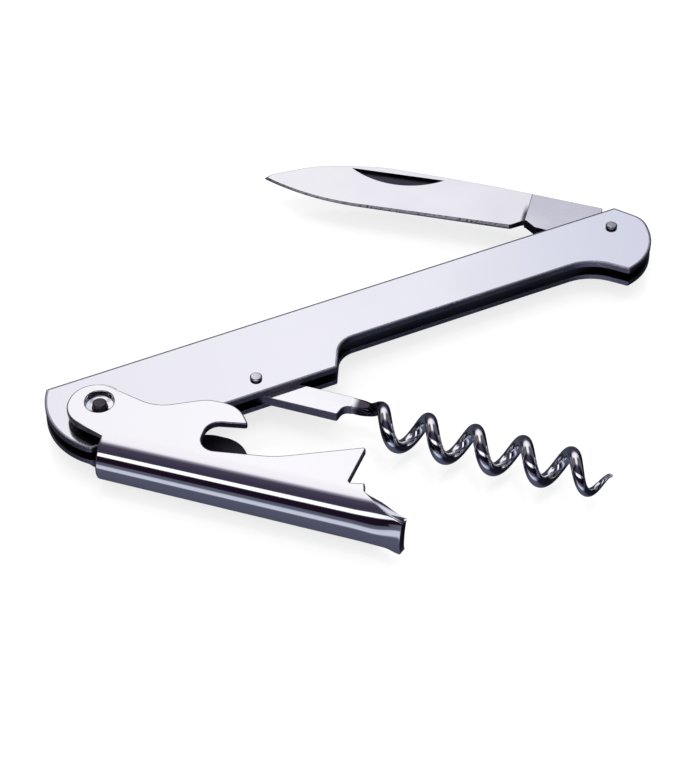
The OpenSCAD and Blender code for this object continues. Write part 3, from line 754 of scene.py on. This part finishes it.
# the crescent nail nick as a loop on the face, an arc over its chord, and how deep the tilted cut
# lies under each point
def nickLoop(b):
    length, h = b["nickLength"], b["nickHeight"]
    r = (length * length / 4 + h * h) / (2 * h)
    reach = np.arcsin(length / 2 / r)
    a = np.linspace(-reach, reach, 61)
    arc = np.column_stack([r * np.sin(a), r - h - r * np.cos(a)])
    top = np.linspace(length / 2, -length / 2, 24)[1:-1]
    local = np.concatenate([arc, np.column_stack([top, np.zeros(len(top))])])
    t = np.radians(b["nickTurn"])
    spin = np.array([[np.cos(t), np.sin(t)], [-np.sin(t), np.cos(t)]])
    return local @ spin + [b["nickX"], b["back"] - 1.14], b["nickDepth"] * (1 + local[:, 1] / h)


# rings round the blade from its lower face to its upper: plain rounded edges along the back, and
# a steep bevel down to a thin lip along the honed edge
def bladeRings(b, outline, outs):
    half, lip, w = b["ground"] / 2, b["edgeThick"] / 2, b["bevel"]
    lean = np.array([half - lip, w]) / np.hypot(half - lip, w)
    honed = [(w + 0.02, -half, 0, -1), (w, -half, lean[0], -lean[1]),
             (w / 2, -(half + lip) / 2, lean[0], -lean[1]), (0, -lip, lean[0], -lean[1]),
             (0, -0.8 * lip, 1, 0)]
    honed += [(inset, -z, out, -up) for inset, z, out, up in honed[::-1]]
    plain = edgeRings(-half, half, b["round"], b["round"])
    onEdge = (outs[:, 1] < -0.3) & (outline[:, 0] > b["tangLength"] + b["bevelFrom"])
    return [tuple(np.where(onEdge, h, p) for h, p in zip(*pair)) for pair in zip(honed, plain)]


# the nick: a floor that slopes down towards the curved side, and the wall round it
def nickPart(b, faceZ, thinning):
    loop, depth = nickLoop(b)
    count = len(loop)
    rim = np.column_stack([loop, faceZ(loop[:, 1])])
    floor = rim - np.column_stack([np.zeros((count, 2)), depth])
    inward = np.column_stack([loop.mean(0) - loop, np.zeros(count)])
    inward /= np.linalg.norm(inward, axis=1)[:, None]
    slope = b["nickDepth"] / b["nickHeight"] - thinning
    t = np.radians(b["nickTurn"])
    up = np.array([-np.sin(t) * slope, np.cos(t) * slope, 1]) / np.hypot(slope, 1)
    points = np.concatenate([rim, floor, floor])
    faces = gridFaces(2, count, closedColumns=True, flip=True)
    faces += fillLoops(points, [np.arange(count) + 2 * count], False)
    normals = np.concatenate([inward, inward, np.tile(up, (count, 1))])
    return points, faces, normals, [3] * len(faces)


# the flat tang and the ground blade; the blade's faces part from each other towards the back, and its
# lower face rises towards the point. Slots: 0 ground, 1 cut walls painted dark as painted shade, 2
# brushed, 3 nick painted dark as painted shade, 4 honed.
def bladePart(b):
    half, ground, root = b["stock"] / 2, b["ground"] / 2, b["tangLength"]
    thinning = (half - ground) / (b["back"] + b["edge"])

    def faceZ(y):
        return ground + thinning * (y + b["edge"])
    outline, outs = bladeOutline(b)
    tangSide = sheet(*clipped(outline, outs, root, False),
                     edgeRings(-half, half, b["round"], b["round"]), slots=(2, 1, 2))
    outline, outs = clipped(outline, outs, root - 0.1, True)
    points, faces, normals, slots = sheet(outline, outs, bladeRings(b, outline, outs),
                                          blind=[nickLoop(b)[0]], slots=(0, 1, 0))
    points[:, 2] += np.sign(points[:, 2]) * (faceZ(points[:, 1]) - ground)
    taper = b["taper"] + b["tipTaper"] * smoothStep(points[:, 0], b["tipTaperFrom"], b["length"])
    points[:, 2] += (faceZ(points[:, 1]) - points[:, 2]) * taper
    slots = [4 if slot == 1 and points[face, 0].mean() > root + b["honedFrom"] else slot
             for face, slot in zip(faces, slots)]
    normals[:, 1] -= np.abs(normals[:, 2]) * thinning
    normals /= np.linalg.norm(normals, axis=1)[:, None]
    return joined(tangSide, (points, faces, normals, slots), nickPart(b, faceZ, thinning))


# puts a painted zone of shade or highlight between a metal's colour and its shader; the zone's reach
# along the blade is counted from the tang's end
def paintLightZone(mat, b, zone):
    tree = mat.node_tree
    base = tree.nodes["Principled BSDF"].inputs["Base Color"]
    along, across = turned(np.eye(3)[:2] * 1000, b["open"], flip=True)
    tint = addNode(tree, "ShaderNodeGroup", {
        "Vector": addNode(tree, "ShaderNodeTexCoord").outputs["Object"],
        "Pin": tuple(pivots["blade_pivot"] / 1000), "Along": tuple(along), "Across": tuple(across),
        "Color": base.links[0].from_socket, "Zone color": (*zone["color"], 1),
        "Along start": b["tangLength"] + zone["along"][0],
        "Along end": b["tangLength"] + zone["along"][1],
        "Across start": zone["across"][0], "Across end": zone["across"][1]}, node_tree=paintedLightZone)
    tree.links.new(tint.outputs[0], base)
    return mat


groundSteel = paintLightZone(metal("groundSteel", blade["steel"], blade["grain"]), blade, blade["plungeShade"])
brushedTang = paintLightZone(metal("brushedTang", blade["brushed"], blade["tangGrain"]), blade,
                       blade["tangHighlight"])
bladePiece = makePiece("foilBlade", bladePart(blade), pivots["blade_pivot"], blade["open"], flip=True)
dress(bladePiece, "blade", "foil_blade",
      (groundSteel, innerShadeMetal, brushedTang, metal("paintedNickShade", blade["nick"], blade["open"]),
       metal("honedEdge", blade["honed"])))
print("blade done")

pins = {"lever_pin": {"color": (0.075, 0.065, 0.08), "film": (0.2, 0.19, 0.22), "roughness": 0.3,
                      "specks": 0.3},
        "worm_pin": {"color": (0.80, 0.79, 0.83), "film": (0.6, 0.6, 0.66), "roughness": 0.22,
                     "specks": 0.3},
        "blade_pin": {"color": (0.42, 0.41, 0.47), "film": (0.75, 0.75, 0.8), "roughness": 0.28,
                      "specks": 0.5}}
turnedMetal = {"scratch": 0.8, "smear": 0.6, "bump": 0.05, "along": 1500.0}  # what the pins share
# the pins' walls are painted near black: painted shade
pinWallShade = (0.03, 0.028, 0.036)
# the spring is painted near black: painted shade, as it lies in the dark gap between the plates
shadedSpring = {"color": (0.10, 0.098, 0.12), "film": (0.2, 0.2, 0.24), "roughness": 0.35,
               "scratch": 1.0, "smear": 0.6, "bump": 0.05}
nodeEdge = {"weld": 0.002, "round": 0.05, "corner": 28}  # millimetres, and degrees between faces


# a finish and lightly rounded edges for a node that keeps its own solid
def dressNode(name, finish):
    piece = nodes[name]
    piece.data.materials.clear()
    piece.data.materials.append(finish)
    weld = piece.modifiers.new("weld", "WELD")
    weld.merge_threshold = nodeEdge["weld"] / 1000
    bevel = piece.modifiers.new("bevel", "BEVEL")
    bevel.width = nodeEdge["round"] / 1000
    bevel.segments = 2
    bevel.limit_method = "ANGLE"
    bevel.angle_limit = np.radians(nodeEdge["corner"])
    bevel.harden_normals = True
    piece.data.polygons.foreach_set("use_smooth", np.ones(len(piece.data.polygons), bool))


for name, look in pins.items():
    mat = metal(name.replace("_p", "P") + "Steel", {**turnedMetal, **look})
    tree = mat.node_tree
    base = tree.nodes["Principled BSDF"].inputs["Base Color"]
    ends = addNode(tree, "ShaderNodeGroup", {
        "Normal": addNode(tree, "ShaderNodeTexCoord").outputs["Normal"],
        "End": base.links[0].from_socket, "Wall": (*pinWallShade, 1)}, node_tree=pinFaces)
    tree.links.new(ends.outputs[0], base)
    dressNode(name, mat)
dressNode("leaf_spring", metal("shadedSpring", shadedSpring))
print("pins and spring done")

# the lights reach to both sides of stripAt, and beyond sideReach they drop to sideLevel
studio = {"cameraTurn": -24.54, "elevation": 46.6, "lens": 109.69,
          "fromLeverPin": (-69.290, -246.240, 275.780), "floorHalf": 3.0, "floorColor": 0.3,
          "floorGlow": 0.74, "floorGloss": 0.14, "diffuseLight": 0.9, "stripAt": -0.1,
          "sideReach": (0.1, 0.2), "sideLevel": 0.14, "lampSize": (0.5, 0.35), "lampPower": 2.0,
          "lampAt": (0.0, 0.1, 0.8)}
# the studio's brightness and tint along an arc, in degrees: the far wall at 0, overhead at 90,
# the wall behind the camera at 180, and what lies below the table's edge under 0
arcStops = [(-180, (0.08, 0.085, 0.125)), (-166, (0.12, 0.13, 0.175)), (-162, (0.54, 0.57, 0.70)),
            (-147, (0.60, 0.63, 0.76)), (-142, (0.09, 0.095, 0.145)), (-90, (0.078, 0.082, 0.125)),
            (-20, (0.06, 0.06, 0.085)), (10, (0.045, 0.042, 0.06)), (24, (0.09, 0.085, 0.12)),
            (32, (0.55, 0.54, 0.60)), (38, (0.93, 0.93, 0.97)), (50, (0.985, 0.98, 1.0)),
            (84, (0.97, 0.96, 0.99)), (90, (0.86, 0.84, 0.90)), (97, (0.28, 0.26, 0.34)),
            (104, (0.065, 0.055, 0.09)), (124, (0.045, 0.037, 0.07)), (137, (0.042, 0.035, 0.066)),
            (139.5, (1.4, 1.4, 1.45)), (151, (1.4, 1.4, 1.45)), (154.5, (0.01, 0.005, 0.014)),
            (180, (0.012, 0.006, 0.016))]
# how fast the lights fall off to the sides along the same arc: overhead they shrink to a strip
squeezeStops = [(-180, 0.25), (52, 0.25), (66, 0.6), (95, 0.6), (115, 0.25), (180, 0.25)]
# brightness of that arc from left to right of the view, by how far a light's direction points right
besideStops = [(-0.5, (0.93, 0.93, 0.93)), (-0.13, (0.94, 0.94, 0.945)), (-0.02, (1.0, 1.0, 1.0)),
               (0.05, (0.955, 0.955, 0.96)), (0.10, (0.78, 0.80, 0.86)), (0.14, (0.745, 0.77, 0.84)),
               (0.5, (0.72, 0.75, 0.82))]


# a color ramp over a value that runs from low to high
def lightRamp(tree, value, stops, low, high):
    ramp = addNode(tree, "ShaderNodeValToRGB", {"Fac": mapped(tree, value, low, high)})
    elements = ramp.color_ramp.elements
    while len(elements) < len(stops):
        elements.new(0.5)
    for element, (at, color) in zip(elements, stops):
        element.position = (at - stops[0][0]) / (stops[-1][0] - stops[0][0])
        element.color = (*color, 1)
    return ramp.outputs["Color"]


# the world that the metal mirrors: the arc's bands times the side-to-side brightness, fading to the
# sides; diffuse rays meet an even light, and the camera sees plain white
def studioWorld(s):
    world = bpy.data.worlds.new("studio")
    bpy.context.scene.world = world
    world.use_nodes = True
    tree = world.node_tree
    tree.nodes.clear()
    direction = addNode(tree, "ShaderNodeTexCoord").outputs["Generated"]
    a = np.radians(s["cameraTurn"])
    ahead = vectorMaths(tree, "DOT_PRODUCT", direction, (-np.sin(a), np.cos(a), 0))
    beside = vectorMaths(tree, "DOT_PRODUCT", direction, (np.cos(a), np.sin(a), 0))
    height = addNode(tree, "ShaderNodeSeparateXYZ", {0: direction}).outputs["Z"]
    arc = maths(tree, "ARCTAN2", height, ahead)
    light = lightRamp(tree, arc, arcStops, -np.pi, np.pi)
    level = lightRamp(tree, beside, besideStops, besideStops[0][0], besideStops[-1][0])
    squeeze = lightRamp(tree, arc, [(at, (v,) * 3) for at, v in squeezeStops], -np.pi, np.pi)
    off = maths(tree, "ABSOLUTE", maths(tree, "SUBTRACT", beside, s["stripAt"]))
    side = addNode(tree, "ShaderNodeMapRange", {
        "Value": maths(tree, "MULTIPLY", off, squeeze), "From Min": s["sideReach"][0],
        "From Max": s["sideReach"][1], "To Min": 1.0, "To Max": s["sideLevel"]},
        interpolation_type="SMOOTHSTEP").outputs[0]
    shaded = mixed(tree, 1.0, light, level, blend="MULTIPLY")
    faded = addNode(tree, "ShaderNodeVectorMath", {0: shaded, "Scale": side}, operation="SCALE")
    rays = addNode(tree, "ShaderNodeLightPath").outputs
    soft = mixed(tree, rays["Is Diffuse Ray"], faded.outputs[0], (s["diffuseLight"],) * 3 + (1,))
    seen = mixed(tree, rays["Is Camera Ray"], soft, (1, 1, 1, 1))
    back = addNode(tree, "ShaderNodeBackground", {"Color": seen, "Strength": 1.0})
    addNode(tree, "ShaderNodeOutputWorld", {"Surface": back.outputs[0]})


# a white floor that glows a little, so that it stays white under the soft contact shadow
def studioFloor(s):
    far = s["floorHalf"]
    mesh = bpy.data.meshes.new("studioFloor")
    mesh.from_pydata([[-far, -far, 0], [far, -far, 0], [far, far, 0], [-far, far, 0]], [], [[0, 1, 2, 3]])
    floor = bpy.data.objects.new("studioFloor", mesh)
    bpy.context.scene.collection.objects.link(floor)
    mat = bpy.data.materials.new("whiteFloor")
    mat.use_nodes = True
    bsdf = mat.node_tree.nodes["Principled BSDF"]
    bsdf.inputs["Base Color"].default_value = (s["floorColor"],) * 3 + (1,)
    bsdf.inputs["Roughness"].default_value = s["floorGloss"]
    bsdf.inputs["Emission Color"].default_value = (1, 1, 1, 1)
    bsdf.inputs["Emission Strength"].default_value = s["floorGlow"]
    mesh.materials.append(mat)
    floor.visible_glossy = False


# a soft lamp overhead, which the metal doesn't mirror
def studioLamp(s):
    lamp = bpy.data.objects.new("softLamp", bpy.data.lights.new("softLamp", "AREA"))
    lamp.data.shape = "RECTANGLE"
    lamp.data.size, lamp.data.size_y = s["lampSize"]
    lamp.data.energy = s["lampPower"]
    lamp.location = s["lampAt"]
    lamp.visible_glossy = False
    bpy.context.scene.collection.objects.link(lamp)


# the camera stands off from the lever's pin and looks down at the tool
def studioCamera(s):
    camera = bpy.data.objects.new("camera", bpy.data.cameras.new("camera"))
    camera.data.sensor_width = 36.0
    camera.data.lens = s["lens"]
    camera.data.clip_start = 0.01
    camera.location = (leverPin + s["fromLeverPin"]) / 1000
    camera.rotation_euler = Euler(np.radians([90 - s["elevation"], 0, s["cameraTurn"]]))
    bpy.context.scene.collection.objects.link(camera)
    bpy.context.scene.camera = camera


studioWorld(studio)
studioFloor(studio)
studioLamp(studio)
studioCamera(studio)
bpy.context.scene.view_settings.view_transform = "Standard"
print("stage done")
